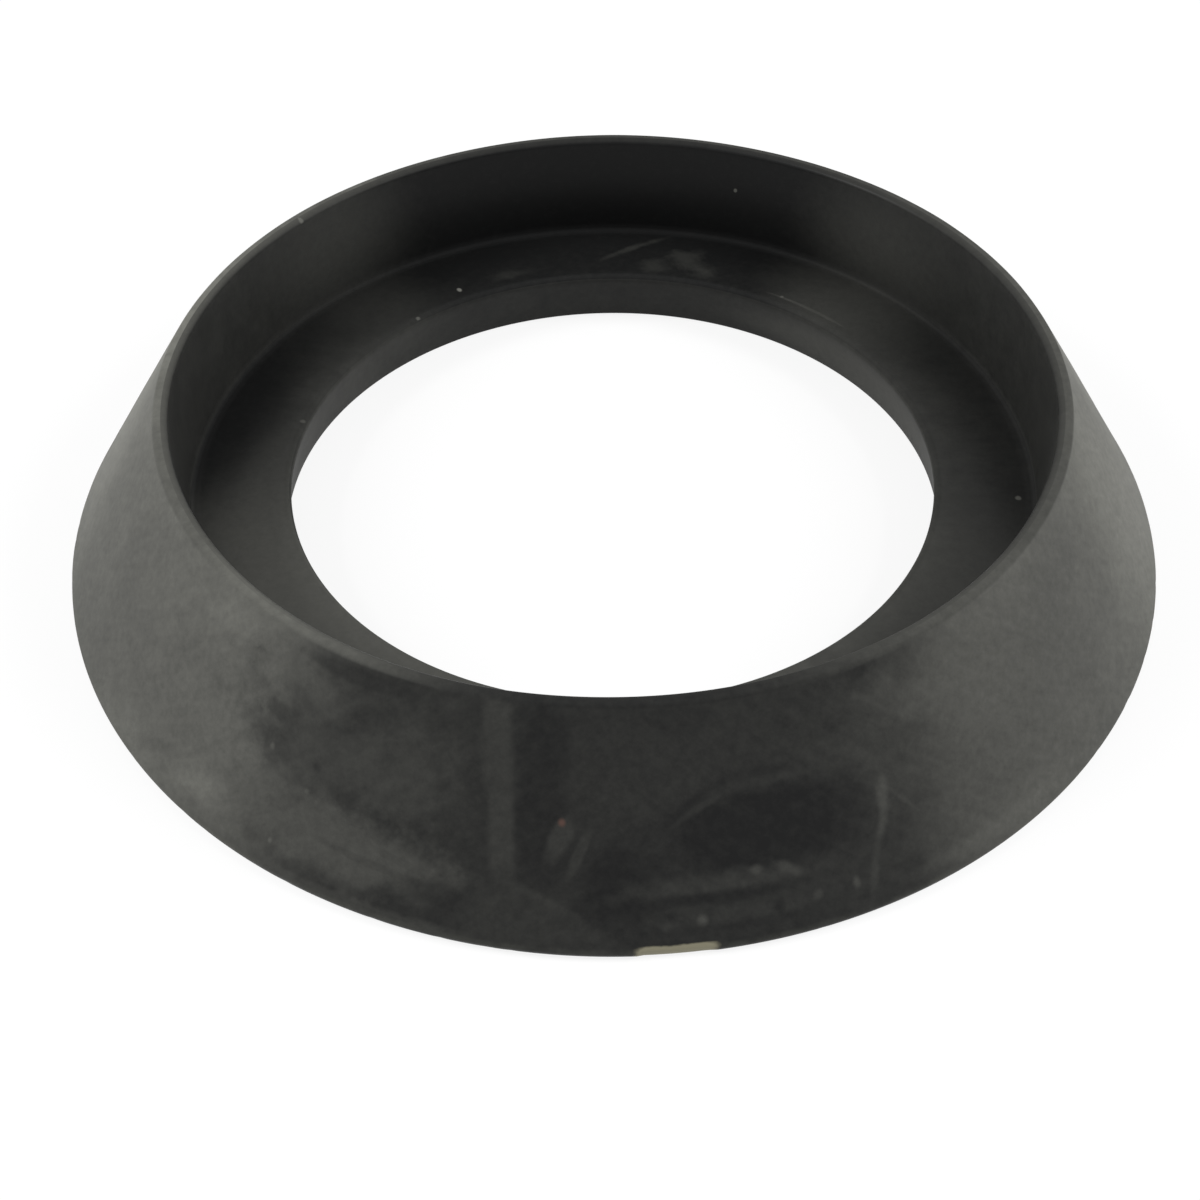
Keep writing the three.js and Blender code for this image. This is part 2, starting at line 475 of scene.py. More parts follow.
class NodeSheet:
    """A node tree with short ways to add and join nodes."""

    def __init__(self, tree: bpy.types.NodeTree) -> None:
        """Keeps the tree and starts with no nodes in it."""
        self.tree = tree
        tree.nodes.clear()

    def add(self, kind: str, *values, **settings) -> bpy.types.Node:
        """Adds one node.

        Args:
            kind: The node's type name.
            *values: A value for each of its first inputs.
            **settings: Values for the node's own properties.

        Returns:
            The new node.
        """
        node = self.tree.nodes.new(kind)
        for key, value in settings.items():
            setattr(node, key, value)
        for i, value in enumerate(values):
            self.feed(node, i, value)
        return node

    def feed(self, node: bpy.types.Node, key: int | str, value: Value) -> None:
        """Sets a socket to a number or colour, or links another socket to it.

        Args:
            node: The node that receives.
            key: Name or index of its input.
            value: A number, a colour or an output socket.
        """
        if isinstance(value, Socket):
            self.tree.links.new(value, node.inputs[key])
        else:
            node.inputs[key].default_value = value

    def vector(self, operation: str, *values: Value) -> Socket:
        """Adds a Vector Math node and returns its vector."""
        return self.add("ShaderNodeVectorMath", *values, operation=operation).outputs["Vector"]

    def measure(self, operation: str, *values: Value) -> Socket:
        """Adds a Vector Math node and returns its number."""
        return self.add("ShaderNodeVectorMath", *values, operation=operation).outputs["Value"]

    def combined(self, x: Value, y: Value, z: Value = 0.0) -> Socket:
        """Puts three numbers together and returns the vector."""
        return self.add("ShaderNodeCombineXYZ", x, y, z).outputs[0]

    def math(self, operation: str, *values: Value) -> Socket:
        """Adds a Math node and returns its result."""
        return self.add("ShaderNodeMath", *values, operation=operation).outputs[0]

    def ramp(self, *values: Value) -> Socket:
        """Maps a value smoothly from one range, low and high, to another."""
        node = self.add("ShaderNodeMapRange", *values, interpolation_type="SMOOTHSTEP")
        return node.outputs[0]

    def mix(self, factor: Value, first: Value, second: Value) -> Socket:
        """Mixes two colours.

        Args:
            factor: Share of the second colour.
            first: One colour.
            second: The other colour.

        Returns:
            The mixed colour.
        """
        node = self.add("ShaderNodeMix", data_type="RGBA")
        for i, value in ((0, factor), (6, first), (7, second)):
            self.feed(node, i, value)
        return node.outputs[2]

    def blend(self, factor: Value, first: Value, second: Value) -> Socket:
        """Mixes two numbers.

        Args:
            factor: Share of the second number.
            first: One number.
            second: The other number.

        Returns:
            The mixed number.
        """
        node = self.add("ShaderNodeMix", data_type="FLOAT")
        for i, value in ((0, factor), (2, first), (3, second)):
            self.feed(node, i, value)
        return node.outputs[0]

    def noise(self, vector: Socket, scale: float, detail: float, rough: float = 0.5) -> Socket:
        """Adds a noise.

        Args:
            vector: Where it is read.
            scale: How fine it is.
            detail: How many finer layers it has.
            rough: How strong the finer layers are.

        Returns:
            Its value, about 0.5 on average.
        """
        node = self.add("ShaderNodeTexNoise", noise_dimensions="3D")
        values = {"Vector": vector, "Scale": scale, "Detail": detail, "Roughness": rough}
        for key, value in values.items():
            self.feed(node, key, value)
        return node.outputs["Fac"]

    def place(self, group: bpy.types.NodeTree, **values: Value) -> bpy.types.Node:
        """Places a node group and feeds its inputs.

        Args:
            group: The group to place.
            **values: A number, a colour or a socket for each input; an underscore in a
                key stands for a space in the input's name.

        Returns:
            The group's node.
        """
        node = self.add("ShaderNodeGroup", node_tree=group)
        for key, value in values.items():
            self.feed(node, key.replace("_", " "), value)
        return node


@dataclass(frozen=True)
class Fade:
    """A smooth change from one value to another while a measure goes from start to stop."""

    start: float
    stop: float
    before: float = 0.0
    after: float = 1.0

    def over(self, sheet: NodeSheet, measure: Socket) -> Socket:
        """Draws the change over a measure and returns the value."""
        return sheet.ramp(measure, self.start, self.stop, self.before, self.after)


def floats(*labels: str) -> tuple[tuple[str, str], ...]:
    """Returns a number socket for each label, as an effect's inputs and outputs list them."""
    return tuple((label, "NodeSocketFloat") for label in labels)


class Effect:
    """A shader node group with named inputs and outputs, built once."""

    name = "effect"
    inputs: tuple[tuple[str, str], ...] = ()
    outputs: tuple[tuple[str, str], ...] = ()

    def __init__(self) -> None:
        """Builds the group with its sockets, and draws what is inside."""
        self.group = bpy.data.node_groups.new(self.name, "ShaderNodeTree")
        for label, kind in self.inputs:
            self.group.interface.new_socket(label, in_out="INPUT", socket_type=kind)
        for label, kind in self.outputs:
            self.group.interface.new_socket(label, in_out="OUTPUT", socket_type=kind)
        sheet = NodeSheet(self.group)
        entry = sheet.add("NodeGroupInput")
        leave = sheet.add("NodeGroupOutput")
        for label, socket in self.draw(sheet, entry.outputs).items():
            sheet.feed(leave, label, socket)

    def draw(self, sheet: NodeSheet, entry: Outputs) -> dict[str, Socket]:
        """Draws the inside of the group and returns the socket for each output's name."""
        raise NotImplementedError


class RingPlace(Effect):
    """Unrolls the ring: says where round it and how far up a point is, and on which face."""

    name = "ring_place"
    inputs = (("Point", "NodeSocketVector"),)
    outputs = (
        ("Outer", "NodeSocketVector"),
        ("Inner", "NodeSocketVector"),
        *floats("Azimuth", "Radius", "Height", "Crest"),
    )
    crest_share_of_edge = 0.7
    crest_fade_mm = 0.3
    floor_band_mm = 0.15

    def __init__(self, sizes: RingSizes) -> None:
        """Keeps the ring's sizes and builds the group."""
        self.sizes = sizes
        super().__init__()

    def draw(self, sheet: NodeSheet, entry: Outputs) -> dict[str, Socket]:
        """Draws the inside of the group.

        Args:
            sheet: The group's nodes.
            entry: The group's inputs by name.

        Returns:
            The socket for each output's name.
        """
        sizes = self.sizes
        point = sheet.vector("MULTIPLY", entry["Point"], (1 / MM, 1 / MM, 1 / MM))
        x, y, height = sheet.add("ShaderNodeSeparateXYZ", point).outputs
        leftwards, frontwards = (sheet.math("MULTIPLY", value, -1.0) for value in (x, y))
        azimuth = sheet.math("DEGREES", sheet.math("ARCTAN2", x, frontwards))
        from_back = sheet.math("DEGREES", sheet.math("ARCTAN2", leftwards, y))
        radius = sheet.measure("LENGTH", sheet.combined(x, y))
        crest_start = (sizes.height - self.crest_share_of_edge * sizes.lip_inner_edge) / MM
        crest = Fade(crest_start, crest_start + self.crest_fade_mm).over(sheet, height)
        flat = sheet.math("COMPARE", height, sizes.floor_height / MM, self.floor_band_mm)
        up = sheet.blend(flat, height, radius)
        outer = sheet.combined(sheet.math("MULTIPLY", azimuth, Side.OUTER.value), height, 1.0)
        inner = sheet.combined(sheet.math("MULTIPLY", from_back, Side.INNER.value), up, 1.0)
        return {
            "Outer": outer,
            "Inner": inner,
            "Azimuth": azimuth,
            "Radius": radius,
            "Height": height,
            "Crest": crest,
        }


class SoftMark(Effect):
    """Lays one soft-edged, ragged and bent patch over the bloom that is there already."""

    name = "soft_mark"
    inputs = (
        ("Place", "NodeSocketVector"),
        ("Along row", "NodeSocketVector"),
        ("Up row", "NodeSocketVector"),
        *floats("Level before", "Cloud", "Bend", "Inner edge", "Outer edge"),
        *floats("Ragged", "Squareness", "Level", "Strength"),
    )
    outputs = floats("Level after")

    def draw(self, sheet: NodeSheet, entry: Outputs) -> dict[str, Socket]:
        """Draws the inside of the group.

        Args:
            sheet: The group's nodes.
            entry: The group's inputs by name.

        Returns:
            The socket for each output's name.
        """
        across = sheet.measure("DOT_PRODUCT", entry["Place"], entry["Along row"])
        up = sheet.measure("DOT_PRODUCT", entry["Place"], entry["Up row"])
        square = sheet.math("MULTIPLY", across, across)
        lifted = sheet.math("SUBTRACT", up, sheet.math("MULTIPLY", square, entry["Bend"]))
        lifted = sheet.math("MULTIPLY", lifted, lifted)
        powers = [sheet.math("POWER", value, entry["Squareness"]) for value in (square, lifted)]
        root = sheet.math("DIVIDE", 0.5, entry["Squareness"])
        reach = sheet.math("POWER", sheet.math("ADD", *powers), root)
        uneven = sheet.math("SUBTRACT", entry["Cloud"], NOISE_MEAN)
        reach = sheet.math("MULTIPLY_ADD", uneven, entry["Ragged"], reach)
        share = sheet.ramp(reach, entry["Inner edge"], entry["Outer edge"], entry["Strength"], 0.0)
        return {"Level after": sheet.blend(share, entry["Level before"], entry["Level"])}


class RingLine(Effect):
    """A soft line that runs round the ring at one radius and height, worn in places."""

    name = "ring_line"
    inputs = floats("Radius", "Height", "Line radius", "Line height", "Width", "Cloud", "Worn")
    outputs = floats("Mask")
    across_line = Fade(0.35, 1.0, 1.0, 0.0)
    wear = Fade(0.38, 0.6, 1.0, 0.0)

    def draw(self, sheet: NodeSheet, entry: Outputs) -> dict[str, Socket]:
        """Draws the inside of the group.

        Args:
            sheet: The group's nodes.
            entry: The group's inputs by name.

        Returns:
            The socket for each output's name.
        """
        out = sheet.math("SUBTRACT", entry["Radius"], entry["Line radius"])
        up = sheet.math("SUBTRACT", entry["Height"], entry["Line height"])
        squares = sheet.math("MULTIPLY_ADD", out, out, sheet.math("MULTIPLY", up, up))
        share = sheet.math("DIVIDE", sheet.math("SQRT", squares), entry["Width"])
        line = self.across_line.over(sheet, share)
        gaps = sheet.math("MULTIPLY", self.wear.over(sheet, entry["Cloud"]), entry["Worn"])
        return {"Mask": sheet.math("MULTIPLY", line, sheet.math("SUBTRACT", 1.0, gaps))}


class Grain(Effect):
    """The fine surface of moulded rubber: pits, a faint orange peel, and uneven bloom.

    Mottle is a fine cloud, and Wiped is one drawn out along the strokes of a cloth.
    """

    name = "rubber_grain"
    inputs = (("Point", "NodeSocketVector"), ("Round", "NodeSocketVector"))
    outputs = floats("Height", "Mottle", "Wiped")
    peel_scale = 900.0
    pit_scale = 3200.0
    pit_share = 0.35
    mottle_scale = 1300.0
    wiped_scale = 0.7
    along_stroke = (-0.24, 0.17, 0.0)
    across_stroke = (1.0, 1.4, 0.0)

    def draw(self, sheet: NodeSheet, entry: Outputs) -> dict[str, Socket]:
        """Draws the inside of the group.

        Args:
            sheet: The group's nodes.
            entry: The group's inputs by name.

        Returns:
            The socket for each output's name.
        """
        peel = sheet.noise(entry["Point"], self.peel_scale, 2.0)
        pits = sheet.noise(entry["Point"], self.pit_scale, 1.0)
        height = sheet.blend(self.pit_share, peel, pits)
        fine = sheet.noise(entry["Point"], self.mottle_scale, 3.0, 0.7)
        turned = sheet.vector("ABSOLUTE", entry["Round"])
        along = sheet.measure("DOT_PRODUCT", turned, self.along_stroke)
        across = sheet.measure("DOT_PRODUCT", turned, self.across_stroke)
        wiped = sheet.noise(sheet.combined(along, across), self.wiped_scale, 3.0, 0.6)
        return {"Height": height, "Mottle": fine, "Wiped": wiped}


@dataclass(frozen=True)
class EdgeLine:
    """A line round the ring, in metres, and how much of it is worn away."""

    radius: float
    height: float
    width: float
    worn: float


@dataclass(frozen=True)
class BloomSpread:
    """Where the bloom lies before any mark, from 0, bare rubber, to 1, fully grey.

    Turned is the azimuth from the front, either way round. Rightwards runs from -1 at
    the left of the ring to 1 at its right. Some of these levels are painted light: a
    grazing sheen towards the flanks' outlines, shade inside at the back and towards the
    crease, sheen on the front floor and near the bore, a paler bore, and a highlight
    along the lip's crest.
    """

    side_by_turned: Fade = Fade(24.0, 46.0, 0.08, 0.62)
    # Painted grazing sheen: lighter towards the flanks' outlines, kept most of the way to the back
    grazing_sheen_by_turned: Fade = Fade(74.0, 100.0, 0.0, 0.28)
    grazing_sheen_kept_by_turned: Fade = Fade(115.0, 150.0, 1.0, 0.3)
    outer_share_by_cloud: Fade = Fade(0.3, 0.7, 0.8, 1.2)
    # Painted shade: the inside darker at the back
    inside_back_shade_by_turned: Fade = Fade(115.0, 155.0, 0.12, 0.0)
    # Painted sheen: the floor lighter at the front
    floor_front_sheen_by_turned: Fade = Fade(50.0, 85.0, 0.16, 0.0)
    # Painted shade and sheen: the floor darker towards the crease and lighter near the bore
    floor_crease_shade_by_radius: Fade = Fade(31.0, 37.5, 1.15, 0.45)
    floor_rim_sheen_by_radius: Fade = Fade(31.0, 37.5, 0.01, 0.0)
    inner_share_by_cloud: Fade = Fade(0.25, 0.75, 0.8, 1.2)
    # Painted reflection: the bore a little paler
    bore: float = 0.09
    # The crest's bloom and its painted highlight along the lip
    crest_by_turned: Fade = Fade(8.0, 50.0, 0.04, 0.42)
    crest_left_by_azimuth: Fade = Fade(-30.0, -14.0, 0.26, 0.0)
    crest_right_by_azimuth: Fade = Fade(16.0, 30.0, 0.0, 0.16)
    crest_front_kept_by_turned: Fade = Fade(40.0, 60.0, 1.0, 0.0)
    crest_back_kept_by_turned: Fade = Fade(110.0, 170.0, 1.0, 0.25)
    crest_share_by_rightwards: Fade = Fade(-0.94, 0.94, 1.2, 0.65)
    crest_level_drop_by_rightwards: Fade = Fade(-0.94, 0.94, 0.0, -0.6)
    crest_cover_by_level: Fade = Fade(0.6, 0.8, 0.8, 0.0)


@dataclass(frozen=True)
class Canvas:
    """What the rubber of one zone is drawn with: its nodes, its zone and what they know.

    Place holds the outputs of RingPlace, and cloud is the noise that makes edges ragged.
    """

    sheet: NodeSheet
    zone: Zone
    point: Socket
    place: Outputs
    cloud: Socket


@dataclass(frozen=True)
class RubberFinish:
    """Black moulded rubber with a grey bloom that has been wiped and smeared, and painted
    shade, sheen and highlights laid in the same colours.
    """

    sizes: RingSizes
    faults: Faults
    spread: BloomSpread = BloomSpread()
    bare: Colour = (0.0077, 0.0079, 0.0079, 1.0)
    # The heaviest bloom's colour, also the colour towards which the painted sheen and highlights go
    heaviest_bloom_and_sheen: Colour = (0.2018, 0.2017, 0.1800, 1.0)
    heaviest_level: float = 1.6
    scraped: Colour = (0.2300, 0.2150, 0.1500, 1.0)
    pink_dirt: Colour = (0.0900, 0.0500, 0.0400, 1.0)
    worn_edge: Colour = (0.0700, 0.0720, 0.0600, 1.0)
    specular_level: float = 0.12
    bare_roughness: float = 0.34
    bloomed_roughness: float = 0.62
    fully_dull_level: float = 0.7
    bore_roughness: float = 0.6
    edge_roughness: float = 0.8
    dulled_width: float = 1.0 * MM
    rubbed_share: float = 0.25
    rubbed_width: float = 0.6 * MM
    rubbed_worn: float = 0.9
    floor_band_mm: float = 0.3
    bore_top_mm: tuple[float, float] = (0.5, 0.2)
    broad_scale: float = 60.0
    cloud_scale: float = 330.0
    ragged_noise: float = 3.0
    outer_mottle: float = 0.75
    inner_mottle: float = 0.3
    even_mottle_share: float = 0.25
    wiped_share: float = 0.35
    grain_depth: float = 0.012 * MM

    def effect(self, kind: type[Effect], *args) -> bpy.types.NodeTree:
        """Returns the group of an effect, built the first time it is asked for."""
        group = bpy.data.node_groups.get(kind.name)
        return group if group is not None else kind(*args).group

    def outer_start(self, canvas: Canvas) -> Socket:
        """Draws the bloom outside before any mark: heavy at the sides and thin in front, with a
        painted grazing sheen that lightens the flanks towards their outlines.

        Args:
            canvas: What the zone is drawn with.

        Returns:
            The level of bloom.
        """
        sheet, spread = canvas.sheet, self.spread
        broad = sheet.noise(canvas.point, self.broad_scale, 3.0, 0.6)
        turned = sheet.math("ABSOLUTE", canvas.place["Azimuth"])
        kept = spread.grazing_sheen_kept_by_turned.over(sheet, turned)
        side = spread.side_by_turned.over(sheet, turned)
        # Painted grazing sheen: lighter towards the flanks' outlines, kept most of the way to the
        # back
        flank = spread.grazing_sheen_by_turned.over(sheet, turned)
        outside = sheet.math("MULTIPLY_ADD", flank, kept, side)
        return sheet.math("MULTIPLY", outside, spread.outer_share_by_cloud.over(sheet, broad))

    def inner_shade_and_sheen(self, canvas: Canvas) -> Socket:
        """Draws painted light inside before any mark: painted shade at the back and towards the
        crease, painted sheen on the front floor and near the bore, and a painted paler bore.

        Args:
            canvas: What the zone is drawn with.

        Returns:
            The level of painted shade and sheen.
        """
        sheet, spread, place = canvas.sheet, self.spread, canvas.place
        floor_height = self.sizes.floor_height / MM
        turned = sheet.math("ABSOLUTE", place["Azimuth"])
        floor = sheet.math("COMPARE", place["Height"], floor_height, self.floor_band_mm)
        # Painted shade: the inside darker at the back
        side = spread.inside_back_shade_by_turned.over(sheet, turned)
        # Painted sheen: the floor lighter at the front
        front = spread.floor_front_sheen_by_turned.over(sheet, turned)
        level = sheet.math("MULTIPLY_ADD", front, floor, side)
        # Painted shade and sheen: the floor darker towards the crease and lighter near the bore
        share = sheet.blend(floor, 1.0, spread.floor_crease_shade_by_radius.over(sheet, place["Radius"]))
        level = sheet.math("MULTIPLY", level, share)
        extra = spread.floor_rim_sheen_by_radius.over(sheet, place["Radius"])
        level = sheet.math("MULTIPLY_ADD", extra, floor, level)
        # Painted reflection: the bore a little paler
        bore = sheet.math("LESS_THAN", place["Height"], floor_height - self.floor_band_mm)
        level = sheet.math("MULTIPLY_ADD", bore, spread.bore, level)
        return sheet.math("MULTIPLY", level, spread.inner_share_by_cloud.over(sheet, canvas.cloud))

    def crest_bloom_and_highlight(self, canvas: Canvas, level: Socket) -> Socket:
        """Lays the crest's own bloom and painted highlight over the lip, less where the side below
        is fully grey.

        Args:
            canvas: What the zone is drawn with.
            level: The bloom with its marks.

        Returns:
            The level of bloom with the crest's bloom and painted highlight.
        """
        sheet, spread, azimuth = canvas.sheet, self.spread, canvas.place["Azimuth"]
        turned = sheet.math("ABSOLUTE", azimuth)
        rightwards = sheet.math("SINE", sheet.math("RADIANS", azimuth))
        left = spread.crest_left_by_azimuth.over(sheet, azimuth)
        right = spread.crest_right_by_azimuth.over(sheet, azimuth)
        kept = spread.crest_front_kept_by_turned.over(sheet, turned)
        # The crest's bloom and painted highlight, heavier towards the sides
        crest = spread.crest_by_turned.over(sheet, turned)
        crest = sheet.math("MULTIPLY_ADD", sheet.math("ADD", left, right), kept, crest)
        kept = spread.crest_back_kept_by_turned.over(sheet, turned)
        share = spread.crest_share_by_rightwards.over(sheet, rightwards)
        crest = sheet.math("MULTIPLY", sheet.math("MULTIPLY", crest, kept), share)
        drop = spread.crest_level_drop_by_rightwards.over(sheet, rightwards)
        cover = spread.crest_cover_by_level.over(sheet, sheet.math("ADD", level, drop))
        return sheet.blend(sheet.math("MULTIPLY", canvas.place["Crest"], cover), level, crest)

    def laid(self, canvas: Canvas, mark: Mark, level: Value) -> Socket:
        """Lays one mark over the level before it.

        Args:
            canvas: What the zone is drawn with.
            mark: The mark.
            level: The level before it.

        Returns:
            The level after it.
        """
        side = canvas.zone.side
        along_row, up_row = mark.rows(side)
        inner_edge, outer_edge = mark.edges()
        node = canvas.sheet.place(
            self.effect(SoftMark),
            Level_before=level,
            Place=canvas.place["Outer" if side is Side.OUTER else "Inner"],
            Cloud=canvas.cloud,
            Along_row=along_row,
            Up_row=up_row,
            Bend=mark.bend,
            Inner_edge=inner_edge,
            Outer_edge=outer_edge,
            Ragged=self.ragged_noise * mark.ragged,
            Squareness=mark.squareness,
            Level=mark.level,
            Strength=mark.strength,
        )
        return node.outputs["Level after"]

    def level(self, canvas: Canvas) -> Socket:
        """Draws the bloom over one zone of the ring, with its marks, its painted shade and sheen
        and its painted highlights.

        Args:
            canvas: What the zone is drawn with.

        Returns:
            The level of bloom.
        """
        outside = canvas.zone.side is Side.OUTER
        level = self.outer_start(canvas) if outside else self.inner_shade_and_sheen(canvas)
        for mark in canvas.zone.marks():
            level = self.laid(canvas, mark, level)
        return self.crest_bloom_and_highlight(canvas, level)

    def edge(self, canvas: Canvas, line: EdgeLine) -> Socket:
        """Draws one line round the ring.

        Args:
            canvas: What the zone is drawn with.
            line: The line.

        Returns:
            The line's mask.
        """
        node = canvas.sheet.place(
            self.effect(RingLine),
            Radius=canvas.place["Radius"],
            Height=canvas.place["Height"],
            Line_radius=line.radius / MM,
            Line_height=line.height / MM,
            Width=line.width / MM,
            Cloud=canvas.cloud,
            Worn=line.worn,
        )
        return node.outputs["Mask"]

    def roughness(self, canvas: Canvas, level: Socket) -> Socket:
        """Draws the roughness: bloom dulls the rubber, and so do the edges and the bore.

        Args:
            canvas: What the zone is drawn with.
            level: The level of bloom.

        Returns:
            The roughness.
        """
        sheet, sizes = canvas.sheet, self.sizes
        dulling = Fade(0.0, self.fully_dull_level, self.bare_roughness, self.bloomed_roughness)
        roughness = dulling.over(sheet, level)
        roughness = sheet.blend(canvas.place["Crest"], roughness, self.edge_roughness)
        if canvas.zone.side is Side.OUTER:
            return roughness
        low, high = (sizes.floor_height / MM - below for below in self.bore_top_mm)
        bore = Fade(low, high, 1.0, 0.0).over(sheet, canvas.place["Height"])
        roughness = sheet.blend(bore, roughness, self.bore_roughness)
        for radius in (sizes.recess_radius, sizes.bore_rim_radius):
            line = EdgeLine(radius, sizes.floor_height, self.dulled_width, 0.0)
            roughness = sheet.blend(self.edge(canvas, line), roughness, self.edge_roughness)
        return roughness

    def scrape(self) -> Mark:
        """Makes the mark that colours the scraped stretch of the base's edge.

        Returns:
            The mark.
        """
        faults = self.faults
        middle = math.degrees(faults.scrape_from + faults.scrape_to) / 2
        half = (faults.scrape_to - faults.scrape_from) / 2 * self.sizes.base_radius / MM
        return Mark(middle, 0.2, half, 1.0, 1.0, 0.95, softness=0.15, ragged=0.2, squareness=4.0)

    def stained(self, canvas: Canvas, colour: Socket) -> Socket:
        """Draws the scraped stretch of the base's edge and the one pink speck.

        Args:
            canvas: What the zone is drawn with.
            colour: The colour so far.

        Returns:
            The colour with its stains.
        """
        zone = canvas.zone
        speck = Mark(-4.8, 9.3, 0.32, 0.3, 1.0, 0.8, softness=0.8, ragged=0.1)
        for mark, tint in ((self.scrape(), self.scraped), (speck, self.pink_dirt)):
            if mark.touches(zone.side, zone.start, zone.stop):
                colour = canvas.sheet.mix(self.laid(canvas, mark, 0.0), colour, tint)
        return colour

    def mottled(self, canvas: Canvas, level: Socket, grain: Outputs) -> Socket:
        """Makes the bloom uneven in small.

        Args:
            canvas: What the zone is drawn with.
            level: The level of bloom.
            grain: The outputs of Grain.

        Returns:
            The uneven level.
        """
        sheet = canvas.sheet
        mottle, strength = grain["Mottle"], self.inner_mottle
        if canvas.zone.side is Side.OUTER:
            mottle = sheet.blend(self.wiped_share, mottle, grain["Wiped"])
            strength = self.outer_mottle
        uneven = sheet.math("SUBTRACT", mottle, NOISE_MEAN)
        level = sheet.math("MULTIPLY_ADD", sheet.math("MULTIPLY", uneven, strength), level, level)
        return sheet.math("MULTIPLY_ADD", uneven, self.even_mottle_share * strength, level)

    def colour(self, canvas: Canvas, level: Socket) -> Socket:
        """Draws the colour: rubber and bloom with the painted shade, sheen and highlights, the
        rubbed base edge and the stains.

        Args:
            canvas: What the zone is drawn with.
            level: The uneven level of bloom and painted light.

        Returns:
            The colour.
        """
        sheet, sizes = canvas.sheet, self.sizes
        share = sheet.math("MAXIMUM", 0.0, sheet.math("DIVIDE", level, self.heaviest_level))
        colour = sheet.mix(share, self.bare, self.heaviest_bloom_and_sheen)
        line = EdgeLine(sizes.base_radius, sizes.base_edge, self.rubbed_width, self.rubbed_worn)
        rubbed = sheet.math("MULTIPLY", self.edge(canvas, line), self.rubbed_share)
        colour = sheet.mix(rubbed, colour, self.worn_edge)
        return self.stained(canvas, colour) if canvas.zone.side is Side.OUTER else colour

    def material(self, zone: Zone) -> bpy.types.Material:
        """Builds the rubber of one zone.

        Args:
            zone: The stretch of the ring.

        Returns:
            The material.
        """
        material = bpy.data.materials.new(zone.name())
        material.use_nodes = True
        sheet = NodeSheet(material.node_tree)
        point = sheet.add("ShaderNodeTexCoord").outputs["Object"]
        place = sheet.place(self.effect(RingPlace, self.sizes), Point=point).outputs
        grain = sheet.place(self.effect(Grain), Point=point, Round=place["Outer"]).outputs
        canvas = Canvas(sheet, zone, point, place, sheet.noise(point, self.cloud_scale, 4.0, 0.6))
        level = self.level(canvas)
        bump = sheet.add("ShaderNodeBump")
        sheet.feed(bump, "Strength", 1.0)
        sheet.feed(bump, "Distance", self.grain_depth)
        sheet.feed(bump, "Height", grain["Height"])
        colour = self.colour(canvas, self.mottled(canvas, level, grain))
        shader = sheet.add("ShaderNodeBsdfPrincipled")
        sheet.feed(shader, "Base Color", colour)
        sheet.feed(shader, "Roughness", self.roughness(canvas, level))
        sheet.feed(shader, "Specular IOR Level", self.specular_level)
        sheet.feed(shader, "Normal", bump.outputs[0])
        sheet.add("ShaderNodeOutputMaterial", shader.outputs[0])
        return material


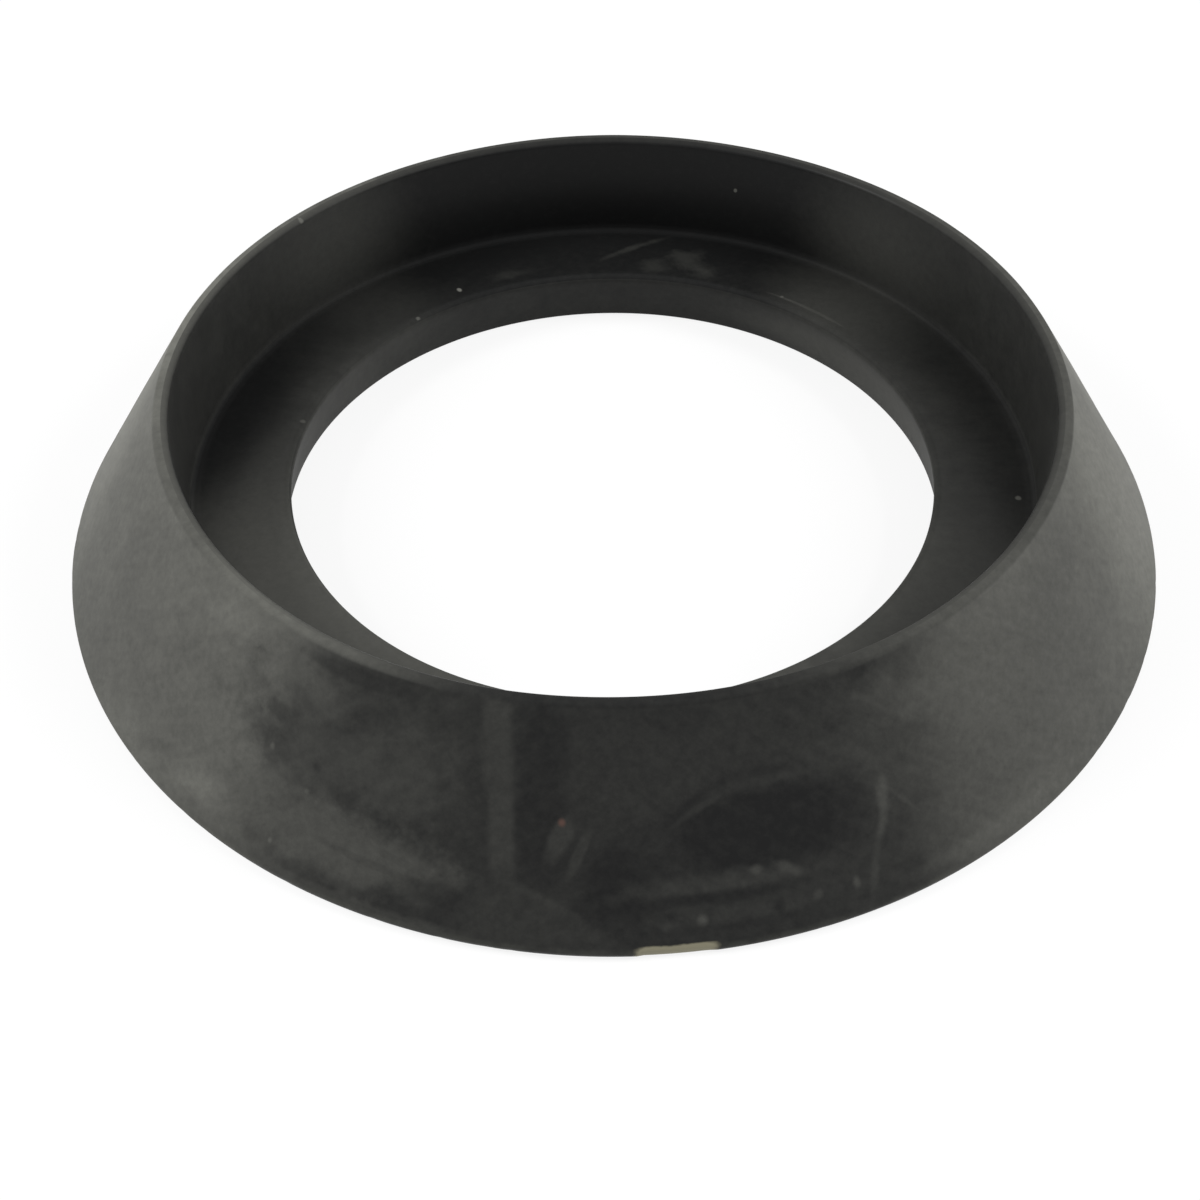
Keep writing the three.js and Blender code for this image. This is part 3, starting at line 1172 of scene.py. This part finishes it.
@dataclass(frozen=True)
class GasketRing:
    """The one moulded ring, as a fine mesh with its small faults.

    The edge's reach and fade are in radii of the base's edge, and the seam between the
    inner and the outer materials lies at that share of the lip's width.
    """

    sizes: RingSizes
    faults: Faults
    finish: RubberFinish
    edge_reach: float = 2.5
    edge_fade: float = 1.5
    zone_seam: float = 0.6
    segments: int = 576
    name: str = "moulded_ring"
    node: str = "gasket"

    def lip_share(self, height: float) -> float:
        """Finds how much a point follows the lip.

        Args:
            height: The point's height.

        Returns:
            Its share, from 0 to 1.
        """
        sizes = self.sizes
        share = (height - sizes.floor_height) / (sizes.height - sizes.floor_height)
        return max(0.0, min(1.0, share)) ** 2

    def edge_share(self, radius: float, height: float) -> float:
        """Finds how near a point is to the base's outer edge.

        Args:
            radius: The point's radius.
            height: The point's height.

        Returns:
            Its nearness, from 0 to 1.
        """
        sizes = self.sizes
        if radius < sizes.base_radius - self.edge_reach * sizes.base_edge:
            return 0.0
        return max(0.0, 1.0 - abs(height - sizes.base_edge) / (self.edge_fade * sizes.base_edge))

    def placed(self, azimuth: float, point: Vector) -> Vector:
        """Places one point of the section, with the moulding's faults.

        Args:
            azimuth: Angle round the ring from the front, positive to the right.
            point: Radius and height of the point.

        Returns:
            The point in space.
        """
        radius, height = point
        around = Vector((math.sin(azimuth), -math.cos(azimuth), 0.0))
        outside = radius > self.sizes.lip_corner().x and height > self.sizes.base_edge
        edge = self.edge_share(radius, height)
        lip = self.lip_share(height)
        if lip > 0.0:
            shift, drop = self.faults.lip_offset(around)
            radius += lip * shift
            height += lip * drop
        if outside:
            radius += self.faults.ripple(around * radius + Vector((0.0, 0.0, height)))
        if edge > 0.0:
            radius -= edge * self.faults.edge_loss(azimuth, around)
        return around * radius + Vector((0.0, 0.0, height))

    def zone_numbers(self, outline: list[Vector]) -> list[int]:
        """Finds which zone each face of the mesh is in.

        Args:
            outline: The points of the ring's section.

        Returns:
            A number for each face, in the order the faces are made in.
        """
        seam = self.sizes.recess_radius + self.zone_seam * self.sizes.lip_width
        within = [point.x < seam for point in outline]
        inner = [zone.side for zone in ZONES].index(Side.INNER)
        numbers = []
        for i in range(self.segments):
            azimuth = 360.0 * (i + 0.5) / self.segments - 180.0
            holds = [zone.side is Side.OUTER and zone.start < azimuth < zone.stop for zone in ZONES]
            outer = holds.index(True)
            numbers.extend(inner if inside else outer for inside in within)
        return numbers

    def build(self) -> bpy.types.Object:
        """Builds the ring's mesh and dresses it.

        Returns:
            The ring, riding on the part's body in place of its node.
        """
        outline = Section(self.sizes).points()
        count = len(outline)
        vertices = []
        faces = []
        for i in range(self.segments):
            azimuth = 2 * math.pi * i / self.segments - math.pi
            vertices.extend(self.placed(azimuth, point) for point in outline)
            this = i * count
            following = (i + 1) % self.segments * count
            for k in range(count):
                after = (k + 1) % count
                faces.append((this + k, following + k, following + after, this + after))
        mesh = bpy.data.meshes.new(self.name)
        mesh.from_pydata(vertices, [], faces)
        mesh.shade_smooth()
        for zone in ZONES:
            mesh.materials.append(self.finish.material(zone))
        mesh.polygons.foreach_set("material_index", self.zone_numbers(outline))
        ring = bpy.data.objects.new(self.name, mesh)
        bpy.context.scene.collection.objects.link(ring)
        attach(ring, "root")
        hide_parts(self.node)
        LOG.info("%s: %d points in its section, %d faces", self.name, count, len(faces))
        return ring


@dataclass(frozen=True)
class Studio:
    """A pale floor, even light all round and two soft lamps at the sides."""

    floor_half: float = 2.5
    floor_colour: Colour = (0.85, 0.85, 0.85, 1.0)
    seen_white: float = 0.85
    ambient: float = 0.5
    lamp_power: float = 1.2
    lamp_size: float = 0.16
    lamp_distance: float = 0.42
    lamp_elevation: float = math.radians(42.0)
    lamp_azimuths: tuple[float, float] = (math.radians(-87.0), math.radians(87.0))

    def seen(self, sheet: NodeSheet) -> Socket:
        """Tells whether a surface is seen: directly, mirrored or through glass.

        Args:
            sheet: The nodes that ask.

        Returns:
            1 where it is seen and 0 elsewhere.
        """
        rays = sheet.add("ShaderNodeLightPath").outputs
        mirrored = sheet.math("MAXIMUM", rays["Is Glossy Ray"], rays["Is Transmission Ray"])
        return sheet.math("MAXIMUM", rays["Is Camera Ray"], mirrored)

    def floor_material(self) -> bpy.types.Material:
        """Builds the floor's white, which keeps the ring's soft shadow.

        Returns:
            The material.
        """
        material = bpy.data.materials.new("floor_white")
        material.use_nodes = True
        sheet = NodeSheet(material.node_tree)
        diffuse = sheet.add("ShaderNodeBsdfDiffuse", self.floor_colour).outputs[0]
        glow = sheet.add("ShaderNodeEmission").outputs[0]
        share = sheet.math("MULTIPLY", self.seen(sheet), self.seen_white)
        mixed = sheet.add("ShaderNodeMixShader", share, diffuse, glow)
        sheet.add("ShaderNodeOutputMaterial", mixed.outputs[0])
        return material

    def build_floor(self) -> bpy.types.Object:
        """Builds the floor that the ring stands on.

        Returns:
            The floor.
        """
        half = self.floor_half
        mesh = bpy.data.meshes.new("floor")
        corners = [(-half, -half, 0.0), (half, -half, 0.0), (half, half, 0.0), (-half, half, 0.0)]
        mesh.from_pydata(corners, [], [(0, 1, 2, 3)])
        mesh.materials.append(self.floor_material())
        floor = bpy.data.objects.new("floor", mesh)
        bpy.context.scene.collection.objects.link(floor)
        return floor

    def build_world(self) -> None:
        """Sets the even light that comes from all round."""
        world = bpy.data.worlds.new("studio")
        world.use_nodes = True
        sheet = NodeSheet(world.node_tree)
        strength = sheet.blend(self.seen(sheet), self.ambient, 1.0)
        background = sheet.add("ShaderNodeBackground", WHITE, strength)
        sheet.add("ShaderNodeOutputWorld", background.outputs[0])
        bpy.context.scene.world = world

    def build_lamps(self) -> None:
        """Hangs the two soft lamps."""
        for i, azimuth in enumerate(self.lamp_azimuths):
            data = bpy.data.lights.new(f"side_lamp_{i}", "AREA")
            data.shape = "SQUARE"
            data.size = self.lamp_size
            data.energy = self.lamp_power
            lamp = bpy.data.objects.new(f"side_lamp_{i}", data)
            out, up = math.cos(self.lamp_elevation), math.sin(self.lamp_elevation)
            away = Vector((math.sin(azimuth) * out, -math.cos(azimuth) * out, up))
            lamp.location = away * self.lamp_distance
            lamp.rotation_euler = away.to_track_quat("Z", "Y").to_euler()
            bpy.context.scene.collection.objects.link(lamp)

    def build(self) -> None:
        """Builds the floor, the world and the lamps."""
        self.build_floor()
        self.build_world()
        self.build_lamps()
        bpy.context.scene.view_settings.view_transform = "Standard"
        LOG.info("studio: floor, world and %d lamps", len(self.lamp_azimuths))


@dataclass(frozen=True)
class PhotoCamera:
    """The camera at the photograph's viewing angle.

    It looks at the middle of the base from its distance and elevation, and is then
    turned a little by pan, tilt and roll.
    """

    base_radius: float
    lens_mm: float = 48.41
    sensor_mm: float = 36.0
    distance_in_radii: float = 3.074
    elevation: float = math.radians(41.92)
    pan: float = math.radians(-0.45)
    tilt: float = math.radians(-3.42)
    roll: float = math.radians(-0.30)

    def turned(self, first: Vector, second: Vector, angle: float) -> tuple[Vector, Vector]:
        """Returns two square axes turned by an angle from the first to the second."""
        cosine, sine = math.cos(angle), math.sin(angle)
        return first * cosine + second * sine, second * cosine - first * sine

    def build(self) -> bpy.types.Object:
        """Builds the camera and makes it the scene's own.

        Returns:
            The camera.
        """
        back = Vector((0.0, -math.cos(self.elevation), math.sin(self.elevation)))
        ahead, right = -back, Vector((1.0, 0.0, 0.0))
        up = right.cross(ahead)
        ahead, right = self.turned(ahead, right, self.pan)
        ahead, up = self.turned(ahead, up, self.tilt)
        right, up = self.turned(right, up, self.roll)
        data = bpy.data.cameras.new("photo_camera")
        data.lens = self.lens_mm
        data.sensor_width = self.sensor_mm
        data.clip_start = 0.01
        camera = bpy.data.objects.new("photo_camera", data)
        axes = Matrix((right, up, -ahead)).transposed().to_4x4()
        spot = back * self.distance_in_radii * self.base_radius
        camera.matrix_world = Matrix.Translation(spot) @ axes
        bpy.context.scene.collection.objects.link(camera)
        bpy.context.scene.camera = camera
        LOG.info("camera: lens %.1f mm", self.lens_mm)
        return camera


def main() -> None:
    """Builds the camera, the studio and the ring."""
    logging.basicConfig(level=logging.INFO, format="%(name)s: %(message)s")
    sizes = RingSizes.from_frame("gasket")
    PhotoCamera(base_radius=sizes.base_radius).build()
    Studio().build()
    faults = Faults()
    GasketRing(sizes=sizes, faults=faults, finish=RubberFinish(sizes, faults)).build()


if __name__ == "__main__":
    main()
